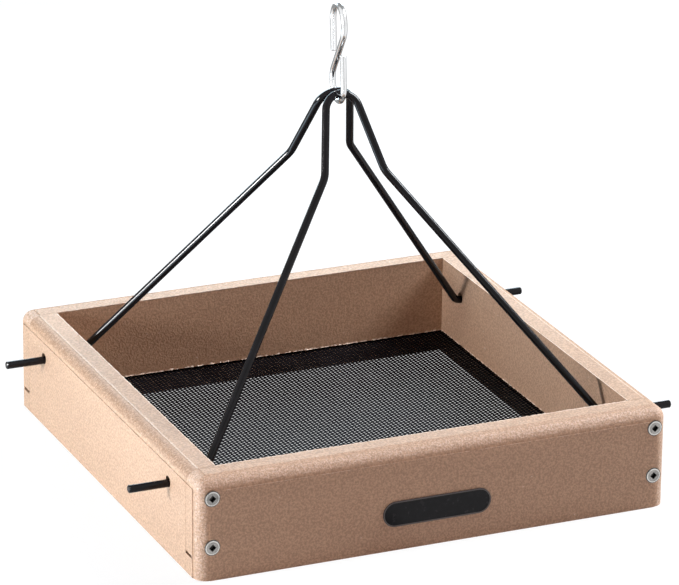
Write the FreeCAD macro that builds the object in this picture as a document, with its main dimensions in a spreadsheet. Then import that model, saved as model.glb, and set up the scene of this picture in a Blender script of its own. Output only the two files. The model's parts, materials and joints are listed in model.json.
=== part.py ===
import FreeCAD, Part
import math
import os
import Sketcher

# Hanging platform bird feeder. Four boards of plastic lumber make a square tray. A thin
# perforated screen lies in a saw kerf that runs round the inside of the boards. Two bent
# steel rods pass through the side boards and meet in the lower loop of an S hook.
# The origin is under the middle of the tray, at the height of the boards' bottom edges.
# +X runs along the front board to the right, +Y to the rear board, +Z up to the hook.

doc = FreeCAD.newDocument("platform_feeder")
V = FreeCAD.Vector

# Driving dimensions, in millimetres and degrees
SIZES = {
    "tray_width": 305,
    "tray_depth": 305,
    "board_height": 64,
    "board_thick": 18.5,
    "edge_round": 7.5,
    "round_step": 0.4,
    "joint_gap": 0.25,
    "kerf_height": 2,
    "kerf_depth": 9,
    "kerf_floor": 11.7,
    "screen_thick": 0.4,
    "screen_slack": 1,
    "screen_border": 10,
    "gap_pitch": 25,
    "gap_dia": 15,
    "rod_dia": 4.8,
    "rod_hole_slack": 2.2,
    "rod_seat": 0.1,
    "rod_hole_inset": 46.5,
    "rod_hole_above": 45,
    "rod_end": 25,
    "hole_bend": 6,
    "elbow_bend": 16,
    "apex_bend": 11,
    "elbow_half": 19.5,
    "neck_length": 49.5,
    "apex_above": 234.8,
    "rod_gap": 0.3,
    "end_chamfer": 0.5,
    "hook_wire": 3.8,
    "loop_bend": 11.3,
    "loop_half": 18.6,
    "hook_mouth": 9.2,
    "tip_overlap": 1.2,
    "hook_turn": -6,
    "hook_seat": 0.15,
    "screw_low": 21,
    "screw_top": 12.2,
    "screw_length": 44,
    "screw_dia": 4.2,
    "screw_point": 5,
    "head_dia": 9.8,
    "head_proud": 0.6,
    "head_bevel": 0.45,
    "drive_width": 3.3,
    "drive_depth": 2.2,
    "screw_fit": 0.1,
    "pilot_spare": 1.5,
    "badge_length": 70,
    "badge_height": 16,
    "badge_thick": 0.6,
    "badge_rim": 0.9,
    "badge_sink": 0.2,
    "badge_above": 23.4,
}

sheet = doc.addObject("Spreadsheet::Sheet", "sizes")
for row, (name, number) in enumerate(SIZES.items(), start=1):
    sheet.set(f"A{row}", name)
    sheet.set(f"B{row}", str(number))
    sheet.setAlias(f"B{row}", name)
doc.recompute()

# Places worked out from the driving dimensions, as expressions on the sheet
KERF_TOP = "sizes.kerf_floor + sizes.kerf_height"
SIDE_LENGTH = "sizes.tray_depth - 2 * sizes.board_thick - 2 * sizes.joint_gap"
SCREW_SIDE = "sizes.tray_width / 2 - sizes.board_thick / 2"
SCREW_HIGH = "sizes.board_height - sizes.screw_top"
ROUND_REACH = "(sizes.edge_round + sizes.round_step)"
ROD_HOLE = "sizes.rod_dia + sizes.rod_hole_slack"
ROD_HOLE_UP = "sizes.rod_hole_above + sizes.rod_hole_slack / 2 - sizes.rod_seat"
ROD_SPREAD = "sizes.tray_depth / 2 - sizes.rod_hole_inset"
ROD_STRAIGHT = "sizes.tray_width / 2 - sizes.board_thick"
ROD_TIP = "sizes.tray_width / 2 + sizes.rod_end"
COUNTERSINK = "sizes.head_dia + 2 * sizes.screw_fit"
SCREW_BORE = "sizes.screw_dia + 2 * sizes.screw_fit"
PILOT_DEPTH = "sizes.screw_length - sizes.board_thick + sizes.pilot_spare"
SCREEN_WIDTH = "sizes.tray_width - 2 * sizes.board_thick + 2 * sizes.kerf_depth - 2 * sizes.screen_slack"
SCREEN_DEPTH = "sizes.tray_depth - 2 * sizes.board_thick + 2 * sizes.kerf_depth - 2 * sizes.screen_slack"


def size(expression):
    """The number that an expression on the sheet has now."""
    value = sheet.evalExpression(expression)
    return float(getattr(value, "Value", value))


rod_spread = size(ROD_SPREAD)
apex_apart = size("(sizes.rod_dia + sizes.rod_gap) / 2")
apex_rise = size("sizes.apex_above - sizes.rod_hole_above")
rod_lean = math.degrees(math.atan2(rod_spread - apex_apart, apex_rise))
rod_slope = math.hypot(rod_spread - apex_apart, apex_rise)

# The hook's lower loop carries both rods, which lie side by side on the inside of its bend
seat_radius = size("sizes.loop_bend - (sizes.hook_wire + sizes.rod_dia) / 2 - sizes.hook_seat")
hook_above = (
    size("sizes.apex_above + sizes.loop_half")
    + math.sqrt(seat_radius**2 - apex_apart**2)
)


def turned(x, y, z, angle_z=0.0, angle_x=0.0):
    """A place at x, y, z, turned about X and then about Z."""
    about_z = FreeCAD.Rotation(V(0, 0, 1), angle_z)
    about_x = FreeCAD.Rotation(V(1, 0, 0), angle_x)
    return FreeCAD.Placement(V(x, y, z), about_z.multiply(about_x))


def new_body(label):
    """An empty body that carries the node's name."""
    body = doc.addObject("PartDesign::Body", label)
    body.Label = label
    return body


def origin_part(body, role):
    """One plane or axis of the body's own origin, such as XY_Plane or X_Axis."""
    return next(item for item in body.Origin.OriginFeatures if item.Role == role)


def new_sketch(body, name, role, lift=None):
    """A sketch on an origin plane, raised along its normal by an expression."""
    sketch = body.newObject("Sketcher::SketchObject", name)
    sketch.AttachmentSupport = (origin_part(body, role), [""])
    sketch.MapMode = "FlatFace"
    if lift is not None:
        sketch.setExpression(".AttachmentOffset.Base.z", lift)
    return sketch


def bind(sketch, kind, *where, expression):
    """A sketch dimension that follows an expression on the sheet."""
    index = sketch.addConstraint(Sketcher.Constraint(kind, *where, size(expression)))
    sketch.setExpression(f"Constraints[{index}]", expression)


def place_point(sketch, geometry, point, across, up):
    """Holds a point of the sketch at two expressions, or on an axis where one is 0."""
    if across == "0":
        sketch.addConstraint(Sketcher.Constraint("PointOnObject", geometry, point, -2))
    else:
        bind(sketch, "DistanceX", -1, 1, geometry, point, expression=across)
    if up == "0":
        sketch.addConstraint(Sketcher.Constraint("PointOnObject", geometry, point, -1))
    else:
        bind(sketch, "DistanceY", -1, 1, geometry, point, expression=up)


def outline(sketch, corners):
    """A closed outline of straight lines through corners given as expressions."""
    points = [V(size(across), size(up), 0) for across, up in corners]
    first = sketch.GeometryCount
    count = len(points)
    for index, start in enumerate(points):
        sketch.addGeometry(Part.LineSegment(start, points[(index + 1) % count]), False)
    for index, (across, up) in enumerate(corners):
        before = first + (index - 1) % count
        sketch.addConstraint(Sketcher.Constraint("Coincident", before, 2, first + index, 1))
        place_point(sketch, first + index, 1, across, up)


def rectangle(sketch, left, bottom, right, top):
    """A rectangle between two corners given as expressions."""
    outline(sketch, [(left, bottom), (right, bottom), (right, top), (left, top)])


def circle(sketch, across, up, diameter):
    """A circle whose centre and diameter are expressions."""
    centre = V(size(across), size(up), 0)
    index = sketch.addGeometry(Part.Circle(centre, V(0, 0, 1), size(diameter) / 2), False)
    place_point(sketch, index, 3, across, up)
    bind(sketch, "Diameter", index, expression=diameter)


def stadium(sketch, length, height, centre_up):
    """A slot outline with round ends, centred on the vertical axis."""
    half_run = size(f"({length} - {height}) / 2")
    radius = size(f"{height} / 2")
    up = size(centre_up)
    right = Part.Circle(V(half_run, up, 0), V(0, 0, 1), radius)
    left = Part.Circle(V(-half_run, up, 0), V(0, 0, 1), radius)
    quarter = math.pi / 2
    sketch.addGeometry(Part.ArcOfCircle(right, -quarter, quarter), False)
    sketch.addGeometry(Part.LineSegment(V(half_run, up + radius, 0), V(-half_run, up + radius, 0)), False)
    sketch.addGeometry(Part.ArcOfCircle(left, quarter, 3 * quarter), False)
    sketch.addGeometry(Part.LineSegment(V(-half_run, up - radius, 0), V(half_run, up - radius, 0)), False)
    for first in range(4):
        sketch.addConstraint(Sketcher.Constraint("Tangent", first, 2, (first + 1) % 4, 1))
    bind(sketch, "Radius", 0, expression=f"{height} / 2")
    place_point(sketch, 0, 3, f"({length} - {height}) / 2", centre_up)
    place_point(sketch, 2, 3, f"-({length} - {height}) / 2", centre_up)


def pad(body, name, sketch, length):
    """Material added along the sketch's normal."""
    feature = body.newObject("PartDesign::Pad", name)
    feature.Profile = sketch
    feature.setExpression("Length", length)
    doc.recompute()
    return feature


def pocket(body, name, sketch, depth=None):
    """Material cut against the sketch's normal, or all the way both ways with no depth."""
    before = body.Shape.Volume
    feature = body.newObject("PartDesign::Pocket", name)
    feature.Profile = sketch
    if depth is None:
        feature.Type = "ThroughAll"
        feature.Midplane = True
    else:
        feature.setExpression("Length", depth)
    doc.recompute()
    check_cut(feature, before)
    return feature


def check_cut(feature, before):
    """Stops the build if a cut took nothing away."""
    if not feature.Shape.Volume < before:
        raise RuntimeError(f"{feature.Name} cut nothing")


def edges_at(feature, *tests):
    """Names of the feature's edges whose middle passes one of the tests."""
    names = []
    for number, edge in enumerate(feature.Shape.Edges, start=1):
        middle = edge.CenterOfMass
        if any(test(middle, edge) for test in tests):
            names.append(f"Edge{number}")
    return names


def near(value, target):
    """True where two lengths agree to a hundredth of a millimetre."""
    return abs(value - target) < 0.01


# The boards. Each lies along its own X axis, with its outer face at Y 0 and its inner face
# one board thickness behind it, and is turned into place about the tray's middle.


def rounded_board(label, length, ends_rounded):
    """A board with its outer top edge rounded, and its outer ends too where they show.

    The cutter ran a little deep, so the flats stand a small step above the rounds.
    """
    body = new_body(label)
    half = f"({length}) / 2"
    core_end = f"{half} - sizes.round_step" if ends_rounded else half
    flat_end = f"{half} - {ROUND_REACH}" if ends_rounded else half
    footprint = new_sketch(body, label + "_footprint", "XY_Plane")
    rectangle(footprint, f"-({core_end})", "sizes.round_step", core_end, "sizes.board_thick")
    core = pad(body, label + "_core", footprint, "sizes.board_height - sizes.round_step")
    step = size("sizes.round_step")
    top = size("sizes.board_height") - step
    end = size(core_end)
    tests = [lambda middle, edge: near(middle.z, top) and near(middle.y, step)]
    if ends_rounded:
        tests.append(lambda middle, edge: near(middle.z, top) and near(abs(middle.x), end))
        tests.append(lambda middle, edge: near(abs(middle.x), end) and near(middle.y, step))
    round_over = body.newObject("PartDesign::Fillet", label + "_round_over")
    round_over.Base = (core, edges_at(core, *tests))
    round_over.setExpression("Radius", "sizes.edge_round")
    doc.recompute()
    front = new_sketch(body, label + "_front_flat_outline", "XY_Plane")
    rectangle(front, f"-({flat_end})", "0", flat_end, "sizes.round_step")
    pad(body, label + "_front_flat", front, f"sizes.board_height - {ROUND_REACH}")
    upper = new_sketch(
        body, label + "_top_flat_outline", "XY_Plane", "sizes.board_height - sizes.round_step"
    )
    rectangle(upper, f"-({flat_end})", ROUND_REACH, flat_end, "sizes.board_thick")
    pad(body, label + "_top_flat", upper, "sizes.round_step")
    if ends_rounded:
        ends = new_sketch(body, label + "_end_flat_outline", "XY_Plane")
        rectangle(ends, f"-({half})", ROUND_REACH, f"-({core_end})", "sizes.board_thick")
        rectangle(ends, core_end, ROUND_REACH, half, "sizes.board_thick")
        pad(body, label + "_end_flats", ends, f"sizes.board_height - {ROUND_REACH}")
    return body


def cut_kerf(body, label):
    """The saw kerf along the inner face, open at both ends of the board."""
    kerf = new_sketch(body, label + "_kerf_section", "YZ_Plane")
    rectangle(
        kerf,
        "sizes.board_thick - sizes.kerf_depth",
        "sizes.kerf_floor",
        "sizes.board_thick",
        KERF_TOP,
    )
    pocket(body, label + "_kerf", kerf)


def countersunk_holes(body, label):
    """Four clearance holes, countersunk in the outer face, over the side boards' ends."""
    centres = new_sketch(body, label + "_screw_places", "XZ_Plane")
    for across in (f"-({SCREW_SIDE})", SCREW_SIDE):
        for up in ("sizes.screw_low", SCREW_HIGH):
            circle(centres, across, up, SCREW_BORE)
    doc.recompute()
    before = body.Shape.Volume
    holes = body.newObject("PartDesign::Hole", label + "_screw_holes")
    holes.Profile = centres
    doc.recompute()
    holes.Threaded = False
    holes.DepthType = "ThroughAll"
    holes.HoleCutType = "Countersink"
    holes.HoleCutCustomValues = True
    holes.HoleCutCountersinkAngle = 90
    holes.setExpression("Diameter", SCREW_BORE)
    holes.setExpression("HoleCutDiameter", COUNTERSINK)
    doc.recompute()
    check_cut(holes, before)


def rod_holes(body, label):
    """Two holes right through a side board. The rod rests on the bottom of its larger hole."""
    places = new_sketch(body, label + "_rod_places", "XZ_Plane")
    for across in (f"-({ROD_SPREAD})", ROD_SPREAD):
        circle(places, across, ROD_HOLE_UP, ROD_HOLE)
    pocket(body, label + "_rod_holes", places)


def pilot_holes(body, label):
    """Pilot holes for the screws, two in each end of a side board."""
    places = new_sketch(body, label + "_pilot_places", "YZ_Plane", f"({SIDE_LENGTH}) / 2")
    for up in ("sizes.screw_low", SCREW_HIGH):
        circle(places, "sizes.board_thick / 2", up, SCREW_BORE)
    drilled = pocket(body, label + "_pilots", places, PILOT_DEPTH)
    other_end = body.newObject("PartDesign::Mirrored", label + "_pilots_other_end")
    other_end.Originals = [drilled]
    other_end.MirrorPlane = (origin_part(body, "YZ_Plane"), [""])
    body.Tip = other_end
    before = drilled.Shape.Volume
    doc.recompute()
    check_cut(other_end, before)


def long_board(label, angle, across):
    """The front or rear board, which runs the tray's full width and covers the side boards' ends."""
    body = rounded_board(label, "sizes.tray_width", True)
    cut_kerf(body, label)
    countersunk_holes(body, label)
    body.Placement = turned(0, across, 0, angle)
    return body


def side_board(label, angle, across):
    """The left or right board, which sits between the long boards and carries the rods."""
    body = rounded_board(label, SIDE_LENGTH, False)
    cut_kerf(body, label)
    rod_holes(body, label)
    pilot_holes(body, label)
    body.Placement = turned(across, 0, 0, angle)
    return body


# The screen. Its gaps stand for a much finer pattern of round holes in the same 60 degree
# stagger, with the same share of open area.


def gap_column(body, name, first_across, count, copies):
    """A column of round gaps along Y, repeated along X at twice the column spacing."""
    column = new_sketch(body, name, "XY_Plane")
    for number in range(count):
        along = f"({number} - {(count - 1) / 2}) * sizes.gap_pitch"
        if number == (count - 1) / 2:
            along = "0"
        circle(column, first_across, along, "sizes.gap_dia")
    punched = pocket(body, name + "_gaps", column)
    pattern = body.newObject("PartDesign::LinearPattern", name + "_pattern")
    pattern.Originals = [punched]
    pattern.Direction = (origin_part(body, "X_Axis"), [""])
    pattern.Occurrences = copies
    pattern.setExpression("Length", f"{copies - 1} * sizes.gap_pitch * sqrt(3)")
    body.Tip = pattern
    before = punched.Shape.Volume
    doc.recompute()
    check_cut(pattern, before)


def floor_screen():
    """A thin flat sheet, loose in the kerf of all four boards."""
    body = new_body("floor_screen")
    blank = new_sketch(body, "screen_outline", "XY_Plane")
    rectangle(
        blank,
        f"-({SCREEN_WIDTH}) / 2",
        f"-({SCREEN_DEPTH}) / 2",
        f"({SCREEN_WIDTH}) / 2",
        f"({SCREEN_DEPTH}) / 2",
    )
    pad(body, "screen_sheet", blank, "sizes.screen_thick")
    spare = "2 * sizes.board_thick + 2 * sizes.screen_border"
    open_width = size(f"sizes.tray_width - ({spare}) - sizes.gap_dia")
    open_depth = size(f"sizes.tray_depth - ({spare}) - sizes.gap_dia")
    pitch = size("sizes.gap_pitch")
    rows = int(open_depth // pitch) + 1
    steps = int(open_width // (pitch * math.sqrt(3)))
    first = f"-{steps / 2} * sizes.gap_pitch * sqrt(3)"
    second = f"-{(steps - 1) / 2} * sizes.gap_pitch * sqrt(3)"
    gap_column(body, "long_column", first, rows, steps + 1)
    gap_column(body, "short_column", second, rows - 1, steps)
    body.setExpression(".Placement.Base.z", "sizes.kerf_floor")
    return body


# The hangers. Each is bent in one plane, drawn here in its own XZ plane: Z 0 is the axis of
# the rod's straight ends. The plane is then leaned in to bring the two apexes together.


def hanger_path(body, label):
    """Half of the rod's centre line, from the apex down to the cut end."""
    elbow_across = size("sizes.elbow_half")
    elbow_up = rod_slope - size("sizes.neck_length")
    apex_bend = size("sizes.apex_bend")
    elbow_bend = size("sizes.elbow_bend")
    hole_bend = size("sizes.hole_bend")
    straight = size(ROD_STRAIGHT)
    apex_centre = V(0, rod_slope - apex_bend, 0)
    hole_centre = V(straight, hole_bend, 0)
    neck_rise = apex_centre.y - elbow_up
    neck_reach = math.hypot(elbow_across, neck_rise)
    neck_angle = math.acos(apex_bend / neck_reach) - math.atan2(neck_rise, elbow_across)
    leg_across = straight - elbow_across
    leg_drop = elbow_up - hole_bend
    leg_reach = math.hypot(leg_across, leg_drop)
    leg_angle = math.acos(hole_bend / leg_reach) - math.atan2(leg_drop, leg_across)
    elbow_run = elbow_bend * math.tan((leg_angle - neck_angle) / 2)
    elbow = V(elbow_across, elbow_up, 0)
    neck_end = elbow - V(math.sin(neck_angle), -math.cos(neck_angle), 0) * elbow_run
    neck_side = V(math.cos(neck_angle), math.sin(neck_angle), 0)
    elbow_centre = neck_end + neck_side * elbow_bend
    leg_start = elbow + V(math.sin(leg_angle), -math.cos(leg_angle), 0) * elbow_run
    leg_side = V(math.cos(leg_angle), math.sin(leg_angle), 0)
    leg_end = hole_centre - leg_side * hole_bend
    up = V(0, 0, 1)
    path = new_sketch(body, label + "_path", "XZ_Plane")
    path.addGeometry(
        [
            Part.ArcOfCircle(Part.Circle(apex_centre, up, apex_bend), neck_angle, math.pi / 2),
            Part.LineSegment(apex_centre + neck_side * apex_bend, neck_end),
            Part.ArcOfCircle(
                Part.Circle(elbow_centre, up, elbow_bend), math.pi + neck_angle, math.pi + leg_angle
            ),
            Part.LineSegment(leg_start, leg_end),
            Part.ArcOfCircle(
                Part.Circle(hole_centre, up, hole_bend), math.pi + leg_angle, 1.5 * math.pi
            ),
            Part.LineSegment(V(straight, 0, 0), V(size(ROD_TIP), 0, 0)),
        ],
        False,
    )
    corner = path.addGeometry(Part.Point(elbow), True)
    joins = ((0, 1, 1, 1), (1, 2, 2, 1), (2, 2, 3, 1), (3, 2, 4, 1), (4, 2, 5, 1))
    for first, first_end, second, second_end in joins:
        path.addConstraint(Sketcher.Constraint("Tangent", first, first_end, second, second_end))
    path.addConstraint(Sketcher.Constraint("PointOnObject", 0, 3, -2))
    path.addConstraint(Sketcher.Constraint("PointOnObject", 0, 2, -2))
    path.addConstraint(Sketcher.Constraint("PointOnObject", 5, 1, -1))
    path.addConstraint(Sketcher.Constraint("Horizontal", 5))
    path.addConstraint(Sketcher.Constraint("PointOnObject", corner, 1, 1))
    path.addConstraint(Sketcher.Constraint("PointOnObject", corner, 1, 3))
    spread = f"(({ROD_SPREAD}) - (sizes.rod_dia + sizes.rod_gap) / 2)"
    slope = f"sqrt({spread} ^ 2 + (sizes.apex_above - sizes.rod_hole_above) ^ 2)"
    bind(path, "DistanceY", -1, 1, 0, 2, expression=slope)
    bind(path, "Radius", 0, expression="sizes.apex_bend")
    bind(path, "Radius", 2, expression="sizes.elbow_bend")
    bind(path, "Radius", 4, expression="sizes.hole_bend")
    bind(path, "DistanceX", -1, 1, 5, 1, expression=ROD_STRAIGHT)
    bind(path, "DistanceX", -1, 1, 5, 2, expression=ROD_TIP)
    bind(path, "DistanceX", -1, 1, corner, 1, expression="sizes.elbow_half")
    bind(path, "DistanceY", -1, 1, corner, 1, expression=f"{slope} - sizes.neck_length")
    section = new_sketch(body, label + "_section", "YZ_Plane")
    circle(section, "0", slope, "sizes.rod_dia")
    return path, section


def sweep(body, name, section, path):
    """A round wire along a path, checked against its section times its length."""
    feature = body.newObject("PartDesign::AdditivePipe", name)
    feature.Profile = section
    feature.Spine = (path, [f"Edge{number + 1}" for number in range(len(path.Shape.Edges))])
    doc.recompute()
    face = Part.Face(section.Shape.Wires[0])
    expected = face.Area * path.Shape.Length
    if abs(feature.Shape.Volume / expected - 1) > 0.01:
        raise RuntimeError(f"{name} has the wrong volume")
    return feature


def chamfer_ends(body, name, feature, test):
    """A small chamfer round the cut ends of a wire."""
    edge_names = edges_at(feature, test)
    trimmed = body.newObject("PartDesign::Chamfer", name)
    trimmed.Base = (feature, edge_names)
    trimmed.setExpression("Size", "sizes.end_chamfer")
    doc.recompute()
    return trimmed


def hanger(label, angle):
    """A rod bent to an inverted V, leaned in from its holes towards the tray's middle."""
    body = new_body(label)
    path, section = hanger_path(body, label)
    doc.recompute()
    half = sweep(body, label + "_half", section, path)
    whole = body.newObject("PartDesign::Mirrored", label + "_whole")
    whole.Originals = [half]
    whole.MirrorPlane = (origin_part(body, "YZ_Plane"), [""])
    body.Tip = whole
    doc.recompute()
    tip = size(ROD_TIP)
    chamfer_ends(body, label + "_cut_ends", whole, lambda middle, edge: near(abs(middle.x), tip))
    about_z = FreeCAD.Rotation(V(0, 0, 1), angle)
    foot = about_z.multVec(V(0, -rod_spread, 0))
    body.Placement = turned(foot.x, foot.y, size("sizes.rod_hole_above"), angle, -rod_lean)
    return body


# The S hook, drawn in its own YZ plane with the middle of its slanting stem at the origin


def s_hook():
    """One length of round wire: a tip, the lower loop, the stem, the upper loop and an end.

    It hangs free on the rods and has swung round a few degrees.
    """
    body = new_body("s_hook")
    radius = size("sizes.loop_bend")
    centre_up = size("sizes.loop_half")
    mouth = size("sizes.hook_mouth")
    overlap = size("sizes.tip_overlap")
    stem_angle = math.asin(radius / centre_up)
    tip_rise = centre_up + overlap
    tip_reach = math.hypot(mouth, tip_rise)
    tip_angle = math.asin(radius / tip_reach) - math.atan2(mouth, tip_rise)
    low = V(0, -centre_up, 0)
    high = V(0, centre_up, 0)
    stem_side = V(math.cos(stem_angle), math.sin(stem_angle), 0) * radius
    tip_side = V(-math.cos(tip_angle), math.sin(tip_angle), 0) * radius
    up = V(0, 0, 1)
    path = new_sketch(body, "hook_path", "YZ_Plane")
    path.addGeometry(
        [
            Part.LineSegment(V(-mouth, overlap, 0), low + tip_side),
            Part.ArcOfCircle(
                Part.Circle(low, up, radius), math.pi - tip_angle, 2 * math.pi + stem_angle
            ),
            Part.LineSegment(low + stem_side, high - stem_side),
            Part.ArcOfCircle(Part.Circle(high, up, radius), -tip_angle, math.pi + stem_angle),
            Part.LineSegment(high - tip_side, V(mouth, -overlap, 0)),
        ],
        False,
    )
    joins = ((0, 2, 1, 1), (1, 2, 2, 1), (2, 2, 3, 2), (3, 1, 4, 1))
    for first, first_end, second, second_end in joins:
        path.addConstraint(Sketcher.Constraint("Tangent", first, first_end, second, second_end))
    place_point(path, 1, 3, "0", "-sizes.loop_half")
    place_point(path, 3, 3, "0", "sizes.loop_half")
    bind(path, "Radius", 1, expression="sizes.loop_bend")
    bind(path, "Radius", 3, expression="sizes.loop_bend")
    place_point(path, 0, 1, "-sizes.hook_mouth", "sizes.tip_overlap")
    place_point(path, 4, 2, "sizes.hook_mouth", "-sizes.tip_overlap")
    doc.recompute()
    section = body.newObject("Sketcher::SketchObject", "hook_section")
    section.AttachmentSupport = (path, ["Edge1"])
    section.MapMode = "NormalToEdge"
    circle(section, "0", "0", "sizes.hook_wire")
    doc.recompute()
    wire = sweep(body, "hook_wire_sweep", section, path)
    wire_end = size("sizes.hook_wire") / 2
    chamfer_ends(
        body,
        "hook_cut_ends",
        wire,
        lambda middle, edge: near(abs(middle.y), mouth) and abs(middle.z) < wire_end,
    )
    body.Placement = turned(0, 0, hook_above, size("sizes.hook_turn"))
    return body


# The screws. Each is drawn with its axis up its own Z and the board's face at Z 0.


def screw(label, place):
    """A countersunk screw with a square drive, its head just proud of the board."""
    body = new_body(label)
    half = new_sketch(body, label + "_half_section", "XZ_Plane")
    neck = "-(sizes.head_dia - sizes.screw_dia) / 2"
    outline(
        half,
        [
            ("0", "-sizes.screw_length"),
            ("sizes.screw_dia / 2", "sizes.screw_point - sizes.screw_length"),
            ("sizes.screw_dia / 2", neck),
            ("sizes.head_dia / 2", "0"),
            ("sizes.head_dia / 2", "sizes.head_proud - sizes.head_bevel"),
            ("sizes.head_dia / 2 - 2 * sizes.head_bevel", "sizes.head_proud"),
            ("0", "sizes.head_proud"),
        ],
    )
    turned_blank = body.newObject("PartDesign::Revolution", label + "_blank")
    turned_blank.Profile = half
    turned_blank.ReferenceAxis = (half, ["V_Axis"])
    turned_blank.Angle = 360
    doc.recompute()
    drive = new_sketch(body, label + "_drive_outline", "XY_Plane", "sizes.head_proud")
    corner = "sizes.drive_width / sqrt(2)"
    outline(drive, [("0", f"-{corner}"), (corner, "0"), ("0", corner), (f"-{corner}", "0")])
    pocket(body, label + "_drive", drive, "sizes.drive_depth")
    body.Placement = place
    return body


def badge():
    """A bare oval plate on the front board, with a narrow raised rim."""
    body = new_body("badge")
    plate = new_sketch(body, "badge_outline", "XZ_Plane")
    stadium(plate, "sizes.badge_length", "sizes.badge_height", "sizes.badge_above")
    pad(body, "badge_plate", plate, "sizes.badge_thick")
    field = new_sketch(body, "badge_field_outline", "XZ_Plane", "sizes.badge_thick")
    stadium(
        field,
        "(sizes.badge_length - 2 * sizes.badge_rim)",
        "(sizes.badge_height - 2 * sizes.badge_rim)",
        "sizes.badge_above",
    )
    pocket(body, "badge_field", field, "sizes.badge_sink")
    body.Placement = turned(0, -half_depth, 0)
    return body


half_width = size("sizes.tray_width / 2")
half_depth = size("sizes.tray_depth / 2")
parts = [
    long_board("front_board", 0, -half_depth),
    long_board("rear_board", 180, half_depth),
    side_board("left_board", -90, -half_width),
    side_board("right_board", 90, half_width),
    floor_screen(),
    hanger("front_hanger", 0),
    hanger("rear_hanger", 180),
    s_hook(),
    badge(),
]

FACES = {"front": (-half_depth, 0), "rear": (half_depth, 180)}
SIDES = {"left": -size(SCREW_SIDE), "right": size(SCREW_SIDE)}
LEVELS = {"lower": size("sizes.screw_low"), "upper": size(SCREW_HIGH)}
for face, (face_y, face_angle) in FACES.items():
    for hand, screw_x in SIDES.items():
        for level, screw_z in LEVELS.items():
            where = turned(screw_x, face_y, screw_z, face_angle, 90)
            parts.append(screw(f"screw_{face}_{hand}_{level}", where))

doc.recompute()
for item in doc.Objects:
    if "Invalid" in item.State or "Error" in item.State:
        raise RuntimeError(f"{item.Name} failed")
for body in parts:
    if body.Shape.isNull() or not body.Shape.isValid() or len(body.Shape.Solids) != 1:
        raise RuntimeError(f"{body.Label} is not one valid solid")

os.makedirs("parts", exist_ok=True)
for body in parts:
    body.Shape.exportStep(f"parts/{body.Label}.step")
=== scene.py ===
"""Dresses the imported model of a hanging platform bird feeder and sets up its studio.

The tray is four boards of tan plastic lumber round a perforated black screen. Two bent black
rods carry it from a bright S hook. Sizes are in metres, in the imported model's own frame: +Z is
up, +X runs along the front board and -Y faces the viewer.
"""

import json
import logging
import math
import random
from dataclasses import dataclass
from enum import Enum
from typing import Sequence

import bmesh
import bpy
from mathutils import Matrix, Vector

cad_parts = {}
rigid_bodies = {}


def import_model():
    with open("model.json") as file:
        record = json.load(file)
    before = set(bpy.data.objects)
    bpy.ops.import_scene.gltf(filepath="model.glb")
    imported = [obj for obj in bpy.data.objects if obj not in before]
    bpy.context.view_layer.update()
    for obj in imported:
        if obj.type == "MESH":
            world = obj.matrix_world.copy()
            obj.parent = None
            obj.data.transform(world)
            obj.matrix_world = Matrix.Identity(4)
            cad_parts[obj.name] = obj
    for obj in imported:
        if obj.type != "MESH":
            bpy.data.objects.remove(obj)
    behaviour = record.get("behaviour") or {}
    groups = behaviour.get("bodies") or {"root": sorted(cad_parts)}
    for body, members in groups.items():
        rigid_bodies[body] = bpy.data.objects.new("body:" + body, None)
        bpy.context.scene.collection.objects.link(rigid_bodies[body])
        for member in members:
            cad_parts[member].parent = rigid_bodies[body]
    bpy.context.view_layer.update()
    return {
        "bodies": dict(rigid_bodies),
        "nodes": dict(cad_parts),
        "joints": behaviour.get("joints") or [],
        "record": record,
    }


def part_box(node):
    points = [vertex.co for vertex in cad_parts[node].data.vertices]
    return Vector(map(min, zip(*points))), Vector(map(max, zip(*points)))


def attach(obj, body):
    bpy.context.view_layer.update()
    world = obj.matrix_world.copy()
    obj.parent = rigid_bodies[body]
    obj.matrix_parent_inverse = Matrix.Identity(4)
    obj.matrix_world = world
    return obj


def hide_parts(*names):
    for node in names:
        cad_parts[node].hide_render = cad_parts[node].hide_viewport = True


LOG = logging.getLogger("feeder")
MM = 0.001
IMAGE_WIDTH = 679
SENSOR_MM = 36.0
Colour = tuple[float, float, float]
Span = tuple[float, float]
Socket = bpy.types.NodeSocket
CLEAR = (1.0, 1.0, 1.0, 1.0)
UP = Vector((0.0, 0.0, 1.0))


class Grain(Enum):
    """The way a board was drawn, along which its streaks run."""

    ALONG_X = (0.16, 1.0, 1.0)
    ALONG_Y = (1.0, 0.16, 1.0)


class Slot(Enum):
    """The record's material slots."""

    BOARD = "board_plastic"
    ROD = "rod_coating"
    SCREEN = "screen_coating"
    HOOK = "hook_zinc"
    SCREW = "screw_steel"
    BADGE = "badge_black"


@dataclass(frozen=True)
class Speckle:
    """A noise, and the part of its range that is stretched to run from 0 to 1."""

    scale: float
    detail: float
    strength: float
    low: float
    high: float


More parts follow.
